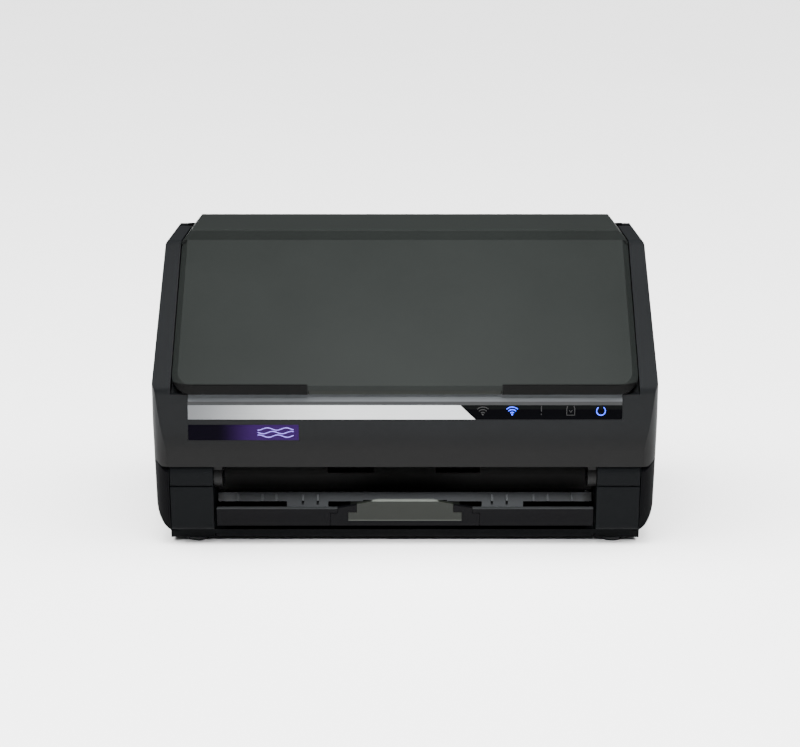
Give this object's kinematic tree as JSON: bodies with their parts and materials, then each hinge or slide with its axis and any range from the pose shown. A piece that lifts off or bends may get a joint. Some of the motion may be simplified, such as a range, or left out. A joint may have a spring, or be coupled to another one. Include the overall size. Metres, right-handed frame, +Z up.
{
  "type": "sheet-fed document and photo scanner",
  "caption": "Desktop sheet-fed scanner with a lid that opens as the feed tray, a cover that tips forward over the paper path, drawn-out output trays, rollers and sliding edge guides.",
  "frame": {"origin": "centre of the bounding box's underside, where the feet rest", "axes": "+X to the right seen from the front, +Y to the rear, +Z up; the front with the output slot faces -Y"},
  "size_m": [0.296, 0.169, 0.176],
  "materials": {
    "board_green": "smooth",
    "button_blue": "satin",
    "button_grey": "satin",
    "gloss_window": "polished",
    "inner_black": "matt",
    "label_violet": "smooth",
    "scan_glass": "polished",
    "shaft_steel": "ground",
    "shell_dark": "fine satin grain",
    "shell_grey": "fine satin grain",
    "silver_band": "satin",
    "soft_rubber": "matt",
    "tray_grey": "satin",
    "white_acetal": "satin"
  },
  "bodies": {
    "base": {"base_shell": "shell_dark", "bottom_pan": "shell_dark", "cover_hinge_pins": "shaft_steel", "drive_belt": "soft_rubber", "exit_comb": "inner_black", "foot_block_left": "shell_dark", "foot_block_right": "shell_dark", "hinge_cap_left": "inner_black", "hinge_cap_right": "inner_black", "main_board": "board_green", "motor": "shaft_steel", "pillar_left": "shell_dark", "pillar_right": "shell_dark", "power_jack": "inner_black", "rear_glass": "scan_glass", "rear_guide": "inner_black", "rear_sensor": "inner_black", "rubber_feet": "soft_rubber", "shaft_bushes": "white_acetal", "side_frame_left": "shaft_steel", "side_frame_right": "shaft_steel", "usb_port": "shaft_steel"},
    "cover": {"cover_shell": "shell_dark", "silver_strip": "silver_band", "indicator_window": "gloss_window", "label_plate": "label_violet", "front_guide": "inner_black", "front_glass": "scan_glass", "front_sensor": "inner_black", "control_board": "board_green", "lid_hinge_pins": "shaft_steel"},
    "lid": {"lid_shell": "shell_grey", "lid_tray": "inner_black"},
    "extension": {"tray_extension": "tray_grey"},
    "right_guide": {"edge_guide_right": "inner_black"},
    "left_guide": {"edge_guide_left": "inner_black"},
    "pinion": {"guide_pinion": "white_acetal"},
    "feed_drive": {"feed_shaft": "shaft_steel", "feed_tyres": "soft_rubber", "feed_pulley": "white_acetal"},
    "conveyor_drive": {"conveyor_shaft": "shaft_steel", "conveyor_tyres": "soft_rubber", "conveyor_pulley": "white_acetal"},
    "exit_drive": {"exit_shaft": "shaft_steel", "exit_tyres": "soft_rubber", "exit_pulley": "white_acetal"},
    "motor_drive": {"motor_pulley": "white_acetal"},
    "exit_pinch_roll": {"exit_pinch": "soft_rubber"},
    "conveyor_pinch_roll": {"conveyor_pinch": "soft_rubber"},
    "separation_roll": {"separation_roller": "soft_rubber"},
    "tray": {"output_tray": "inner_black"},
    "tray_second": {"output_stage_two": "inner_black"},
    "tray_third": {"output_stage_three": "tray_grey"},
    "stopper": {"paper_stopper": "inner_black"},
    "latch": {"latch_lever": "inner_black"},
    "power_key": {"power_button": "button_blue"},
    "start_key": {"start_button": "button_grey"},
    "stop_key": {"stop_button": "button_grey"},
    "wireless_key": {"wireless_button": "button_grey"}
  },
  "joints": [
    {"name": "cover_tip", "type": "hinge", "parent": "base", "child": "cover", "pos_m": [0, -0.076, 0.042], "axis": [1, 0, 0], "range_deg": [0, 45]},
    {"name": "lid_turn", "type": "hinge", "parent": "cover", "child": "lid", "pos_m": [0, 0.05, 0.168], "axis": [-1, 0, 0], "range_deg": [0, 146.67]},
    {"name": "extension_slide", "type": "slide", "parent": "lid", "child": "extension", "axis": [0, -0.7197, -0.6943], "range_m": [0, 0.07]},
    {"name": "right_guide_slide", "type": "slide", "parent": "lid", "child": "right_guide", "axis": [-1, 0, 0], "range_m": [0, 0.076]},
    {"name": "left_guide_slide", "type": "slide", "parent": "lid", "child": "left_guide", "axis": [1, 0, 0], "range_m": [0, 0.076]},
    {"name": "pinion_spin", "type": "hinge", "parent": "lid", "child": "pinion", "pos_m": [0, 0.02681, 0.15365], "axis": [0, -0.374, 0.9274], "continuous": true},
    {"name": "feed_spin", "type": "hinge", "parent": "base", "child": "feed_drive", "pos_m": [0, 0.02128, 0.11235], "axis": [1, 0, 0], "continuous": true},
    {"name": "conveyor_spin", "type": "hinge", "parent": "base", "child": "conveyor_drive", "pos_m": [0, -0.00128, 0.08418], "axis": [1, 0, 0], "continuous": true},
    {"name": "exit_spin", "type": "hinge", "parent": "base", "child": "exit_drive", "pos_m": [0, -0.03885, 0.02992], "axis": [1, 0, 0], "continuous": true},
    {"name": "motor_spin", "type": "hinge", "parent": "base", "child": "motor_drive", "pos_m": [0, 0.02036, 0.03514], "axis": [1, 0, 0], "continuous": true},
    {"name": "exit_pinch_spin", "type": "hinge", "parent": "cover", "child": "exit_pinch_roll", "pos_m": [0, -0.04855, 0.03664], "axis": [1, 0, 0], "continuous": true},
    {"name": "conveyor_pinch_spin", "type": "hinge", "parent": "cover", "child": "conveyor_pinch_roll", "pos_m": [0, -0.01098, 0.0909], "axis": [1, 0, 0], "continuous": true},
    {"name": "separation_spin", "type": "hinge", "parent": "cover", "child": "separation_roll", "pos_m": [0, 0.00623, 0.12277], "axis": [1, 0, 0], "continuous": true},
    {"name": "tray_slide", "type": "slide", "parent": "base", "child": "tray", "axis": [0, -1, 0], "range_m": [0, 0.062]},
    {"name": "second_slide", "type": "slide", "parent": "tray", "child": "tray_second", "axis": [0, -1, 0], "range_m": [0, 0.055]},
    {"name": "third_slide", "type": "slide", "parent": "tray_second", "child": "tray_third", "axis": [0, -1, 0], "range_m": [0, 0.05]},
    {"name": "stopper_turn", "type": "hinge", "parent": "tray_third", "child": "stopper", "pos_m": [0, -0.07871, 0.01959], "axis": [1, 0, 0], "range_deg": [0, 80]},
    {"name": "latch_turn", "type": "hinge", "parent": "cover", "child": "latch", "pos_m": [0, 0, 0.134], "axis": [1, 0, 0], "range_deg": [0, 8], "stiffness_Nm_per_rad": 0.6},
    {"name": "power_press", "type": "slide", "parent": "cover", "child": "power_key", "axis": [0, 0.6943, -0.7197], "range_m": [0, 0.0008], "stiffness_N_per_m": 400},
    {"name": "start_press", "type": "slide", "parent": "cover", "child": "start_key", "axis": [0, 0.6943, -0.7197], "range_m": [0, 0.0008], "stiffness_N_per_m": 400},
    {"name": "stop_press", "type": "slide", "parent": "cover", "child": "stop_key", "axis": [0, 0.6943, -0.7197], "range_m": [0, 0.0008], "stiffness_N_per_m": 400},
    {"name": "wireless_press", "type": "slide", "parent": "cover", "child": "wireless_key", "axis": [0, 0.6943, -0.7197], "range_m": [0, 0.0008], "stiffness_N_per_m": 400}
  ],
  "couplings": [
    {"joint": "conveyor_spin", "follows": "feed_spin", "ratio": 1},
    {"joint": "exit_spin", "follows": "feed_spin", "ratio": 1},
    {"joint": "motor_spin", "follows": "feed_spin", "ratio": 1},
    {"joint": "left_guide_slide", "follows": "right_guide_slide", "ratio": 1},
    {"joint": "pinion_spin", "follows": "right_guide_slide", "rad_per_m": -125}
  ]
}
